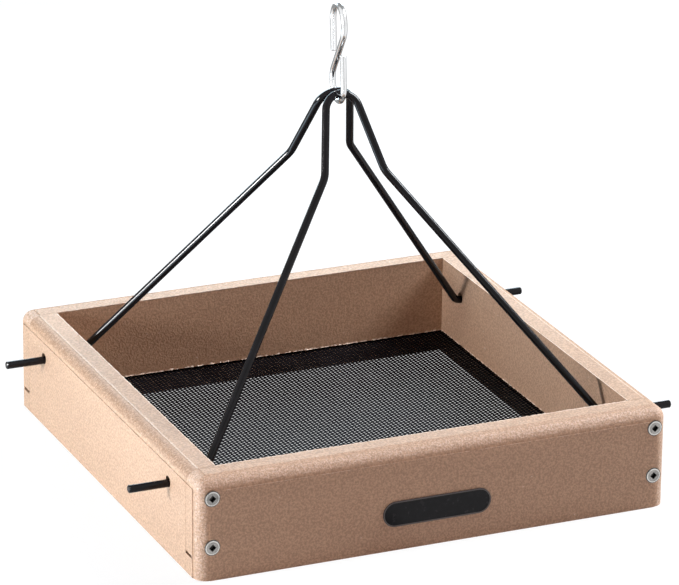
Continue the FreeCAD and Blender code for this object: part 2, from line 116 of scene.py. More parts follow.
class Nodes:
    """A node tree, built by short calls."""

    round_span: Span = (0.004, 0.09)
    # Samples of the ambient occlusion behind the painted shade.
    shade_samples: int = 8

    def __init__(self, tree: bpy.types.NodeTree) -> None:
        """Empties a node tree and takes it over.

        Args:
            tree: The tree of a material or a world.
        """
        self.tree = tree
        self.tree.nodes.clear()
        self.coords = self.tree.nodes.new("ShaderNodeTexCoord").outputs["Object"]

    def into(self, kind: str, *sources: object) -> bpy.types.Node:
        """Adds a node and fills its first inputs.

        Args:
            kind: The node's type.
            sources: A socket or a plain value for each input, in order.

        Returns:
            The node.
        """
        node = self.tree.nodes.new(kind)
        for place, value in enumerate(sources):
            if isinstance(value, Socket):
                self.tree.links.new(value, node.inputs[place])
            else:
                node.inputs[place].default_value = value
        return node

    def scaled(self, scale: Sequence[float]) -> Socket:
        """Returns the object's coordinates stretched along its axes.

        Args:
            scale: The factor along each axis.

        Returns:
            The Mapping node's output.
        """
        mapping = self.tree.nodes.new("ShaderNodeMapping")
        mapping.inputs["Scale"].default_value = scale
        self.tree.links.new(self.coords, mapping.inputs["Vector"])
        return mapping.outputs[0]

    def noise(
        self,
        scale: float,
        detail: float = 2.0,
        roughness: float = 0.5,
        vector: Socket | None = None,
    ) -> Socket:
        """Adds a Noise texture and returns its value.

        Args:
            scale: How many features there are to a metre.
            detail: How many finer layers it has.
            roughness: How strong the finer layers are.
            vector: The coordinates, or None for the object's own.

        Returns:
            The texture's Fac output.
        """
        node = self.tree.nodes.new("ShaderNodeTexNoise")
        node.inputs["Scale"].default_value = scale
        node.inputs["Detail"].default_value = detail
        node.inputs["Roughness"].default_value = roughness
        self.tree.links.new(vector or self.coords, node.inputs["Vector"])
        return node.outputs["Fac"]

    def ramp(self, value: Socket, low: float, high: float) -> Socket:
        """Stretches a value so that low becomes 0 and high becomes 1.

        Args:
            value: The value to stretch.
            low: What becomes 0.
            high: What becomes 1.

        Returns:
            The clamped result.
        """
        node = self.tree.nodes.new("ShaderNodeMapRange")
        node.interpolation_type = "SMOOTHSTEP"
        node.inputs["From Min"].default_value = low
        node.inputs["From Max"].default_value = high
        self.tree.links.new(value, node.inputs["Value"])
        return node.outputs["Result"]

    def speckle(self, speckle: Speckle, vector: Socket | None = None) -> Socket:
        """Adds a noise and stretches a part of its range.

        Args:
            speckle: The noise and the range.
            vector: The coordinates, or None for the object's own.

        Returns:
            A value from 0 to 1.
        """
        noise = self.noise(speckle.scale, speckle.detail, speckle.strength, vector)
        return self.ramp(noise, speckle.low, speckle.high)

    def maths(
        self, operation: str, first: object, second: object = 0.0, third: object = 0.0
    ) -> Socket:
        """Adds a Math node.

        Args:
            operation: The node's operation, such as MULTIPLY.
            first: A socket or a number.
            second: A socket or a number.
            third: A socket or a number, which only some operations read.

        Returns:
            The node's output.
        """
        node = self.into("ShaderNodeMath", first, second, third)
        node.operation = operation
        return node.outputs[0]

    def mix(self, factor: object, first: object, second: object) -> Socket:
        """Mixes two colours.

        Args:
            factor: A socket or a number, 0 for the first colour.
            first: A colour or a socket.
            second: A colour or a socket.

        Returns:
            The mixed colour.
        """
        node = self.tree.nodes.new("ShaderNodeMix")
        node.data_type = "RGBA"
        for place, value in ((0, factor), (6, first), (7, second)):
            if isinstance(value, Socket):
                self.tree.links.new(value, node.inputs[place])
            elif place == 0:
                node.inputs[place].default_value = value
            else:
                node.inputs[place].default_value = (*value, 1.0)
        return node.outputs[2]

    def rounded_edges(self) -> Socket:
        """Finds the milled rounds, which face between the axes.

        Returns:
            1 on a round, and 0 on a flat.
        """
        geometry = self.tree.nodes.new("ShaderNodeNewGeometry").outputs["Normal"]
        parts = self.tree.nodes.new("ShaderNodeSeparateXYZ")
        self.tree.links.new(geometry, parts.inputs[0])
        sides = [self.maths("ABSOLUTE", axis) for axis in parts.outputs]
        widest = self.maths("MAXIMUM", self.maths("MAXIMUM", sides[0], sides[1]), sides[2])
        return self.ramp(self.maths("SUBTRACT", 1.0, widest), *self.round_span)

    def crevices(self, reach: float) -> Socket:
        """Returns 1 in the open and 0 deep inside a recess, for painted shade in corners and
        recesses.

        Args:
            reach: How far away a wall still counts, in metres.

        Returns:
            The openness.
        """
        node = self.tree.nodes.new("ShaderNodeAmbientOcclusion")
        node.samples = self.shade_samples
        node.inputs["Distance"].default_value = reach
        return node.outputs["AO"]

    def bump(self, height: Socket, depth: float, under: Socket | None = None) -> Socket:
        """Adds a Bump node over another.

        Args:
            height: The height, from 0 to 1.
            depth: How deep that is, in metres.
            under: The normal of a bump below this one, or None.

        Returns:
            The bumped normal.
        """
        node = self.tree.nodes.new("ShaderNodeBump")
        node.inputs["Distance"].default_value = depth
        self.tree.links.new(height, node.inputs["Height"])
        if under is not None:
            self.tree.links.new(under, node.inputs["Normal"])
        return node.outputs[0]


class Graph(Nodes):
    """A material with a Principled shader."""

    def __init__(self, name: str) -> None:
        """Makes the material.

        Args:
            name: The material's name.
        """
        self.material = bpy.data.materials.new(name)
        self.material.use_nodes = True
        super().__init__(self.material.node_tree)
        self.shader = self.tree.nodes.new("ShaderNodeBsdfPrincipled")
        self.into("ShaderNodeOutputMaterial", self.shader.outputs[0])

    def put(self, **sockets: object) -> None:
        """Sets plain values on the Principled shader.

        Args:
            sockets: Socket names, with underscores for spaces, and their values.
        """
        for name, value in sockets.items():
            self.shader.inputs[name.replace("_", " ")].default_value = value

    def link(self, source: Socket, name: str) -> None:
        """Joins a node's output to one of the shader's inputs.

        Args:
            source: The output that is read.
            name: The shader's input.
        """
        self.tree.links.new(source, self.shader.inputs[name])


class Surroundings(Nodes):
    """What a floor or a world shows to the camera and to mirrors, and what it lights with."""

    level: Colour = (1.0, 1.0, 0.0)
    rear: Colour = (0.40, 0.916, 0.0)
    stripe: Colour = (-0.17, -0.985, 0.0)
    rear_span: Span = (0.25, 0.60)
    rear_loss: float = 0.66
    stripe_span: Span = (0.988, 0.996)
    stripe_loss: float = 0.70

    def dot(self, way: Socket, other: Colour) -> Socket:
        """Returns how far two ways point the same way.

        Args:
            way: The way looked along.
            other: A plain way.

        Returns:
            The dot product.
        """
        node = self.into("ShaderNodeVectorMath", way, other)
        node.operation = "DOT_PRODUCT"
        return node.outputs["Value"]

    def mirrored(self, place: Socket) -> Socket:
        """Returns the white room that mirrors see, greyer behind and with one thin dark gap.

        Args:
            place: The place or the way looked at.

        Returns:
            The brightness.
        """
        level = self.into("ShaderNodeVectorMath", place, self.level)
        level.operation = "MULTIPLY"
        way = self.into("ShaderNodeVectorMath", level.outputs[0])
        way.operation = "NORMALIZE"
        behind = self.ramp(self.dot(way.outputs[0], self.rear), *self.rear_span)
        gap = self.ramp(self.dot(way.outputs[0], self.stripe), *self.stripe_span)
        grey = self.maths("MULTIPLY_ADD", behind, -self.rear_loss, 1.0)
        return self.maths("MULTIPLY_ADD", gap, -self.stripe_loss, grey)

    def shown(self) -> tuple[Socket, Socket]:
        """Tells apart the rays that look at the studio.

        Returns:
            1 for glossy rays, and 1 for any ray that sees the studio white.
        """
        paths = self.tree.nodes.new("ShaderNodeLightPath").outputs
        direct = self.maths("MAXIMUM", paths["Is Camera Ray"], paths["Is Transmission Ray"])
        glossy = paths["Is Glossy Ray"]
        return glossy, self.maths("MAXIMUM", direct, glossy)


@dataclass(frozen=True)
class BoardPlastic:
    """Tan plastic lumber with a fine leathery skin, and milled rounds with a torn grain.

    On the rounds, raised is how much pale torn grain shows and sunk how much dark scorched grain.
    Both are partly real milling marks and partly painted light and shade: the long boards get pale
    rounds, the short boards dark ones. Corners, steps and joints get painted shade.
    """

    grain: Grain
    raised: float
    sunk: float
    base: Colour = (0.59, 0.373, 0.243)
    dark: Colour = (0.35, 0.216, 0.135)
    fleck: Colour = (0.80, 0.66, 0.54)
    # Pale torn grain of the rounds, partly a painted highlight.
    torn: Colour = (0.80, 0.60, 0.485)
    pit: Colour = (0.25, 0.155, 0.10)
    # Dark scorched grain of the rounds, partly painted shade.
    burnt_grain_and_shade: Colour = (0.24, 0.10, 0.03)
    # Painted shade in corners, steps and joints.
    crevice_shade: Colour = (0.10, 0.062, 0.045)
    streaks: Speckle = Speckle(26.0, 3.0, 0.6, 0.3, 0.7)
    streak_share: float = 0.14
    mottle: Speckle = Speckle(740.0, 3.0, 0.62, 0.36, 0.64)
    mottle_share: float = 0.74
    mottle_depth: float = 0.11 * MM
    flecks: Speckle = Speckle(380.0, 0.0, 0.5, 0.835, 0.87)
    fleck_share: float = 0.45
    tears: Speckle = Speckle(1000.0, 2.0, 0.7, 0.42, 0.66)
    burns: Speckle = Speckle(860.0, 2.0, 0.6, 0.36, 0.64)
    skin: tuple[float, float, float] = (1150.0, 2.0, 0.6)
    skin_depth: float = 0.14 * MM
    pit_span: Span = (0.55, 0.8)
    pit_share: float = 0.4
    # How far and how strongly the painted shade reaches.
    shade_reach: float = 5.0 * MM
    shade_span: Span = (0.02, 0.28)
    rough: float = 0.62
    rough_swing: float = -0.16
    specular: float = 0.42

    def skin_colour(self, graph: Graph, mottle: Socket, skin: Socket) -> Socket:
        """Makes the colour of the boards' leathery faces.

        Args:
            graph: The material's nodes.
            mottle: The darker patches, from 0 to 1.
            skin: The fine relief.

        Returns:
            The colour.
        """
        streaks = graph.speckle(self.streaks, graph.scaled(self.grain.value))
        streaks = graph.maths("MULTIPLY", streaks, self.streak_share)
        tone = graph.maths("MULTIPLY_ADD", mottle, self.mottle_share, streaks)
        colour = graph.mix(tone, self.base, self.dark)
        pits = graph.maths("MULTIPLY", graph.ramp(skin, *self.pit_span), self.pit_share)
        colour = graph.mix(pits, colour, self.pit)
        flecks = graph.maths("MULTIPLY", graph.speckle(self.flecks), self.fleck_share)
        return graph.mix(flecks, colour, self.fleck)

    def milled_colour(self, graph: Graph, colour: Socket) -> Socket:
        """Lays the torn and scorched grain of the milled rounds over a colour: real milling marks,
        partly painted light and shade.

        Args:
            graph: The material's nodes.
            colour: The colour of the faces.

        Returns:
            The colour of faces and rounds.
        """
        milled = graph.rounded_edges()
        for speckle, share, grain in (
            (self.tears, self.raised, self.torn),
            (self.burns, self.sunk, self.burnt_grain_and_shade),
        ):
            # Real milling marks, partly painted light (pale) and painted shade (dark) on the
            # rounds.
            there = graph.maths("MULTIPLY", graph.speckle(speckle), share)
            colour = graph.mix(graph.maths("MULTIPLY", milled, there), colour, grain)
        return colour

    def material(self) -> bpy.types.Material:
        """Makes the board's material.

        Returns:
            The material.
        """
        graph = Graph(f"board_plastic_{self.grain.name.lower()}")
        mottle = graph.speckle(self.mottle)
        skin = graph.noise(*self.skin)
        colour = self.milled_colour(graph, self.skin_colour(graph, mottle, skin))
        # Painted shade: the colour darkens towards a dark brown in corners, steps and joints.
        open_air = graph.ramp(graph.crevices(self.shade_reach), *self.shade_span)
        graph.link(graph.mix(open_air, self.crevice_shade, colour), "Base Color")
        graph.link(graph.maths("MULTIPLY_ADD", skin, self.rough_swing, self.rough), "Roughness")
        relief = graph.bump(skin, self.skin_depth)
        graph.link(graph.bump(mottle, self.mottle_depth, relief), "Normal")
        graph.put(Specular_IOR_Level=self.specular)
        return graph.material


@dataclass(frozen=True)
class Finish:
    """A finish that drifts between two tones, with a fine relief."""

    name: str
    base: Colour
    drift: Colour
    cloud: Speckle
    rough: float
    rough_swing: float
    relief: tuple[float, float]
    relief_depth: float
    specular: float = 0.5
    metallic: float = 0.0

    def colour(self, graph: Graph, cloud: Socket) -> Socket:
        """Makes the finish's colour.

        Args:
            graph: The material's nodes.
            cloud: 0 where the base tone is, and 1 where the other is.

        Returns:
            The colour.
        """
        return graph.mix(cloud, self.base, self.drift)

    def material(self) -> bpy.types.Material:
        """Makes the finish's material.

        Returns:
            The material.
        """
        graph = Graph(self.name)
        cloud = graph.speckle(self.cloud)
        graph.link(self.colour(graph, cloud), "Base Color")
        graph.link(graph.maths("MULTIPLY_ADD", cloud, self.rough_swing, self.rough), "Roughness")
        graph.link(graph.bump(graph.noise(*self.relief), self.relief_depth), "Normal")
        graph.put(Specular_IOR_Level=self.specular, Metallic=self.metallic)
        return graph.material


@dataclass(frozen=True)
class TornPlastic(Finish):
    """The pale fuzz that a saw or a cutter leaves along an edge of the plastic."""

    name: str = "torn_plastic"
    base: Colour = (0.80, 0.655, 0.53)
    drift: Colour = (0.66, 0.50, 0.39)
    cloud: Speckle = Speckle(700.0, 2.0, 0.6, 0.35, 0.65)
    rough: float = 0.6
    rough_swing: float = 0.1
    relief: tuple[float, float] = (2400.0, 1.0)
    relief_depth: float = 0.05 * MM
    specular: float = 0.3


@dataclass(frozen=True)
class RodCoating(Finish):
    """Black powder coat over steel rod: glossy, with a faint orange peel."""

    name: str = "rod_coating"
    base: Colour = (0.0026, 0.0020, 0.0030)
    drift: Colour = (0.0060, 0.0050, 0.0066)
    cloud: Speckle = Speckle(90.0, 2.0, 0.5, 0.35, 0.7)
    rough: float = 0.11
    rough_swing: float = 0.06
    relief: tuple[float, float] = (900.0, 1.0)
    relief_depth: float = 0.008 * MM
    specular: float = 0.22


@dataclass(frozen=True)
class ScreenCoating(Finish):
    """Black coating on thin perforated sheet, a little worn."""

    name: str = "screen_coating"
    base: Colour = (0.0032, 0.0027, 0.0036)
    drift: Colour = (0.0080, 0.0068, 0.0084)
    cloud: Speckle = Speckle(35.0, 3.0, 0.5, 0.3, 0.75)
    rough: float = 0.5
    rough_swing: float = 0.14
    relief: tuple[float, float] = (900.0, 2.0)
    relief_depth: float = 0.02 * MM
    specular: float = 0.02


@dataclass(frozen=True)
class BrightZinc(Finish):
    """Bright plated wire, with the faint haze of plating."""

    name: str = "hook_zinc"
    base: Colour = (0.86, 0.87, 0.88)
    drift: Colour = (0.76, 0.77, 0.78)
    cloud: Speckle = Speckle(220.0, 3.0, 0.6, 0.45, 0.8)
    rough: float = 0.13
    rough_swing: float = 0.08
    relief: tuple[float, float] = (1400.0, 2.0)
    relief_depth: float = 0.006 * MM
    metallic: float = 1.0


@dataclass(frozen=True)
class StainlessSteel(Finish):
    """Stainless screws, with a painted highlight ring and a painted dark outline on the head, and
    painted shade in the drive recess.

    The rings run round each screw's axis, which is found from how far the screws are across the
    tray, from the middle height of each pair and from how far apart a pair is.
    """

    name: str = "screw_steel"
    base: Colour = (0.38, 0.365, 0.35)
    drift: Colour = (0.22, 0.21, 0.20)
    # Painted highlight ring on the head.
    rim: Colour = (0.66, 0.64, 0.61)
    # Painted shade as a dark outline round the head.
    edge: Colour = (0.10, 0.095, 0.09)
    # Painted shade in the drive recess.
    recess_shade: Colour = (0.012, 0.010, 0.010)
    cloud: Speckle = Speckle(500.0, 3.0, 0.6, 0.4, 0.75)
    rough: float = 0.24
    rough_swing: float = 0.2
    relief: tuple[float, float] = (2200.0, 2.0)
    relief_depth: float = 0.03 * MM
    metallic: float = 1.0
    across: float = 143.25 * MM
    middle: float = 36.4 * MM
    apart: float = 15.4 * MM
    # Where the painted highlight ring and the painted dark outline lie.
    rim_highlight_span: Span = (3.5 * MM, 4.0 * MM)
    edge_shade_span: Span = (4.25 * MM, 4.6 * MM)
    # How far and how strongly the painted shade in the recess reaches.
    shade_reach: float = 3.0 * MM
    shade_span: Span = (0.35, 0.85)

    def from_axis(self, graph: Graph) -> Socket:
        """Finds how far a point is from the nearest screw's axis.

        Args:
            graph: The material's nodes.

        Returns:
            The distance, in metres.
        """
        place = graph.into("ShaderNodeSeparateXYZ", graph.coords).outputs
        aside = graph.maths("SUBTRACT", graph.maths("ABSOLUTE", place[0]), self.across)
        above = graph.maths("ABSOLUTE", graph.maths("SUBTRACT", place[2], self.middle))
        above = graph.maths("SUBTRACT", above, self.apart)
        squares = graph.maths("MULTIPLY_ADD", aside, aside, graph.maths("MULTIPLY", above, above))
        return graph.maths("SQRT", squares)

    def colour(self, graph: Graph, cloud: Socket) -> Socket:
        """Makes the colour of the head, with a painted highlight ring, a painted dark outline and
        painted shade in the recess.

        Args:
            graph: The material's nodes.
            cloud: 0 where the base tone is, and 1 where the other is.

        Returns:
            The colour.
        """
        radius = self.from_axis(graph)
        metal = graph.mix(cloud, self.base, self.drift)
        # Painted highlight ring, then a painted dark outline.
        metal = graph.mix(graph.ramp(radius, *self.rim_highlight_span), metal, self.rim)
        metal = graph.mix(graph.ramp(radius, *self.edge_shade_span), metal, self.edge)
        # Painted shade in the drive recess, from ambient occlusion.
        open_air = graph.ramp(graph.crevices(self.shade_reach), *self.shade_span)
        return graph.mix(open_air, self.recess_shade, metal)


@dataclass(frozen=True)
class BadgeBlack(Finish):
    """Glossy black plate whose raised rim is painted paler as a painted highlight, left bare."""

    name: str = "badge_black"
    base: Colour = (0.0065, 0.0060, 0.0075)
    drift: Colour = (0.0140, 0.0130, 0.0150)
    # Painted highlight on the raised rim.
    rim: Colour = (0.13, 0.12, 0.115)
    cloud: Speckle = Speckle(260.0, 3.0, 0.6, 0.45, 0.8)
    rough: float = 0.2
    rough_swing: float = 0.12
    relief: tuple[float, float] = (1800.0, 1.0)
    relief_depth: float = 0.02 * MM
    specular: float = 0.18
    rim_highlight_span: Span = (153.02 * MM, 153.06 * MM)

    def colour(self, graph: Graph, cloud: Socket) -> Socket:
        """Makes the colour of the plate and of its rim, which stands proud of it and gets a
        painted highlight.

        Args:
            graph: The material's nodes.
            cloud: 0 where the base tone is, and 1 where the other is.

        Returns:
            The colour.
        """
        plate = graph.mix(cloud, self.base, self.drift)
        depth = graph.into("ShaderNodeSeparateXYZ", graph.coords).outputs[1]
        # Painted highlight on the rim.
        proud = graph.ramp(graph.maths("ABSOLUTE", depth), *self.rim_highlight_span)
        return graph.mix(proud, plate, self.rim)


def as_object(name: str, mesh: bmesh.types.BMesh) -> bpy.types.Object:
    """Puts a finished mesh into the scene, and frees it.

    Args:
        name: The name of the object and of its mesh.
        mesh: The finished mesh.

    Returns:
        The object, at the origin.
    """
    data = bpy.data.meshes.new(name)
    mesh.to_mesh(data)
    mesh.free()
    made = bpy.data.objects.new(name, data)
    bpy.context.collection.objects.link(made)
    return made


def finished(piece: bpy.types.Object, material: bpy.types.Material) -> None:
    """Dresses a new piece and fastens it to the part.

    Args:
        piece: The new object, at the origin.
        material: Its only material.
    """
    piece.data.materials.clear()
    piece.data.materials.append(material)
    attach(piece, "root")


def dress(node: bpy.types.Object, material: bpy.types.Material) -> None:
    """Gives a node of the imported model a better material.

    Args:
        node: The node's object.
        material: What every one of its slots gets.
    """
    for slot in node.material_slots:
        slot.material = material


@dataclass
class Tray:
    """The four boards, each with streaks along its own length."""

    nodes: dict[str, bpy.types.Object]

    def dress(self) -> None:
        """Gives the boards their plastic."""
        # Same plastic on every board: the long boards' rounds get pale grain as painted light, the
        # short boards' rounds dark grain as painted shade, over real milling marks.
        for plastic, names in (
            (BoardPlastic(Grain.ALONG_X, raised=0.62, sunk=0.08), ("front_board", "rear_board")),
            (BoardPlastic(Grain.ALONG_Y, raised=0.06, sunk=0.66), ("left_board", "right_board")),
        ):
            material = plastic.material()
            for name in names:
                dress(self.nodes[name], material)


@dataclass
class PerforatedScreen:
    """The screen's sheet with all its holes, in four quarters that stand for one node."""

    pitch: float = 2.88 * MM
    stagger: float = 0.9
    hole: float = 1.75 * MM
    sides: int = 8
    corner_reach: float = 1.082
    weld: float = 0.02 * MM
    spare: int = 2

    @property
    def column(self) -> float:
        """The distance between neighbouring columns of the staggered holes."""
        return self.pitch * self.stagger

    def cell(self) -> bmesh.types.BMesh:
        """Makes one flat cell: a rectangle round a hole, joined by a ring of faces.

        Returns:
            The cell's mesh, whose rectangle is an outer circle drawn out to its corners.
        """
        mesh = bmesh.new()
        radius = self.hole / 2 * self.corner_reach
        bmesh.ops.create_circle(mesh, segments=self.sides, radius=radius)
        frame = bmesh.ops.create_circle(mesh, segments=self.sides, radius=1.0)["verts"]
        for vert in frame:
            side = [0.0 if abs(value) < 0.5 else math.copysign(0.5, value) for value in vert.co.xy]
            vert.co = Vector((side[0] * self.column, side[1] * self.pitch, 0.0))
        bmesh.ops.bridge_loops(mesh, edges=mesh.edges[:])
        return mesh

    def add_copy(self, mesh: bmesh.types.BMesh, step: Vector) -> None:
        """Copies everything in a mesh to a place beside it.

        Args:
            mesh: The mesh.
            step: From what is copied to its copy.
        """
        everything = mesh.verts[:] + mesh.edges[:] + mesh.faces[:]
        copied = bmesh.ops.duplicate(mesh, geom=everything)["geom"]
        verts = [item for item in copied if isinstance(item, bmesh.types.BMVert)]
        bmesh.ops.translate(mesh, verts=verts, vec=step)

    def repeat(self, mesh: bmesh.types.BMesh, step: Vector, count: int) -> int:
        """Repeats everything in a mesh along one way by doubling it.

        Args:
            mesh: The mesh, which starts as one copy.
            step: From one copy to the next.
            count: How many copies are wanted at least.

        Returns:
            How many copies there are now.
        """
        made = 1
        while made < count:
            self.add_copy(mesh, step * made)
            made *= 2
        return made

    def lattice(self, width: float, depth: float) -> tuple[bmesh.types.BMesh, int, int]:
        """Makes staggered cells that more than fill a rectangle.

        Args:
            width: The rectangle's size along X.
            depth: The rectangle's size along Y.

        Returns:
            The mesh, how many pairs of columns it has, and how many rows.
        """
        mesh = self.cell()
        rows = math.ceil(depth / self.pitch) + self.spare
        rows = self.repeat(mesh, Vector((0.0, self.pitch, 0.0)), rows)
        self.add_copy(mesh, Vector((self.column, self.pitch / 2, 0.0)))
        pairs = math.ceil(width / self.column / 2) + self.spare
        pairs = self.repeat(mesh, Vector((2 * self.column, 0.0, 0.0)), pairs)
        bmesh.ops.remove_doubles(mesh, verts=mesh.verts[:], dist=self.weld)
        return mesh, pairs, rows

    def trim(self, mesh: bmesh.types.BMesh, planes: Sequence[tuple[Colour, Colour]]) -> None:
        """Cuts off what lies past each of some planes.

        Args:
            mesh: The mesh.
            planes: A point on each plane, and the way that is cut off.
        """
        for place, way in planes:
            bmesh.ops.bisect_plane(
                mesh,
                geom=mesh.verts[:] + mesh.edges[:] + mesh.faces[:],
                plane_co=place,
                plane_no=way,
                clear_outer=True,
            )

    def thicken(self, mesh: bmesh.types.BMesh, thickness: float) -> None:
        """Turns flat cells to face up, and gives them the sheet's thickness.

        Args:
            mesh: The flat cells.
            thickness: The sheet's thickness.
        """
        bmesh.ops.recalc_face_normals(mesh, faces=mesh.faces[:])
        if mesh.faces[:][0].normal.z < 0:
            bmesh.ops.reverse_faces(mesh, faces=mesh.faces[:])
        bmesh.ops.solidify(mesh, geom=mesh.faces[:], thickness=thickness)

    def build(self) -> list[bpy.types.Object]:
        """Makes the quarters from one lattice of cells, cut to the sheet's outline.

        Each quarter takes the lattice shifted by whole steps, so the holes run on over the seams.

        Returns:
            The four finished pieces.
        """
        low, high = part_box("floor_screen")
        width = (high.x - low.x) / 2
        depth = (high.y - low.y) / 2
        lattice, pairs, rows = self.lattice(width, depth)
        outline = [
            ((width, 0, 0), (1, 0, 0)),
            ((-width, 0, 0), (-1, 0, 0)),
            ((0, depth, 0), (0, 1, 0)),
            ((0, -depth, 0), (0, -1, 0)),
        ]
        material = ScreenCoating().material()
        pieces = []
        for along, side in (("left", -1), ("right", 1)):
            for across, end in (("front", -1), ("rear", 1)):
                quarter = lattice.copy()
                step_x = (-1 if side > 0 else 1 - pairs) * 2 * self.column
                step_y = (-1 if end > 0 else 1 - rows) * self.pitch
                bmesh.ops.translate(quarter, verts=quarter.verts[:], vec=(step_x, step_y, high.z))
                seams = [((0, 0, 0), (-side, 0, 0)), ((0, 0, 0), (0, -end, 0))]
                self.trim(quarter, outline + seams)
                self.thicken(quarter, high.z - low.z)
                piece = as_object(f"screen_{across}_{along}", quarter)
                finished(piece, material)
                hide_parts("floor_screen")
                pieces.append(piece)
        lattice.free()
        return pieces


@dataclass(frozen=True)
class TornEdge:
    """A ragged bead of torn plastic along one edge of a board.

    The bead's section is a triangle: it starts and ends a little inside the board, and its tip
    stands out from the edge by a length that wanders. A raggedness above 1 lets it sink out of
    sight here and there.
    """

    start: Vector
    end: Vector
    first: Vector
    tip: Vector
    last: Vector
    ragged: float = 1.0
    step: float = 1.1 * MM
    shortest: float = 0.15
    root: float = 0.4
    stride: int = 7

    def add_to(self, mesh: bmesh.types.BMesh, dice: random.Random) -> None:
        """Adds the bead to a mesh.

        Args:
            mesh: The mesh of all the board's beads.
            dice: Gives the raggedness.
        """
        count = max(2, round((self.end - self.start).length / self.step))
        made = bmesh.ops.create_grid(mesh, x_segments=count, y_segments=2, size=0.5)["verts"]
        reach = [dice.uniform(self.shortest, 1.0) ** 2 for _ in range(count + 1)]
        legs = (self.first, self.tip, self.last)
        for vert in made:
            along = round((vert.co.x + 0.5) * count)
            row = round((vert.co.y + 0.5) * 2)
            point = self.start.lerp(self.end, vert.co.x + 0.5)
            share = reach[along]
            if row != 1:
                other = reach[(along * self.stride + row) % count]
                share = self.root + (1.0 - self.root) * other
            vert.co = point + legs[row] * (1.0 - self.ragged * (1.0 - share))
        rim = {edge for vert in made for edge in vert.link_edges if edge.is_boundary}
        bmesh.ops.holes_fill(mesh, edges=list(rim), sides=0)


@dataclass
class TornEdges:
    """The torn beads of one board."""

    name: str
    edges: list[TornEdge]
    seed: int

    def build(self, material: bpy.types.Material) -> bpy.types.Object:
        """Makes the board's beads as one piece.

        Args:
            material: The torn plastic.

        Returns:
            The finished piece.
        """
        mesh = bmesh.new()
        dice = random.Random(self.seed)
        for edge in self.edges:
            edge.add_to(mesh, dice)
        bmesh.ops.triangulate(mesh, faces=[face for face in mesh.faces if len(face.verts) > 4])
        bmesh.ops.recalc_face_normals(mesh, faces=mesh.faces[:])
        piece = as_object(self.name, mesh)
        finished(piece, material)
        return piece


@dataclass(frozen=True)
class Side:
    """One side of the tray: which way its board faces and runs, and if it is a full-width one."""

    name: str
    out: Vector
    along: Vector
    full_width: bool


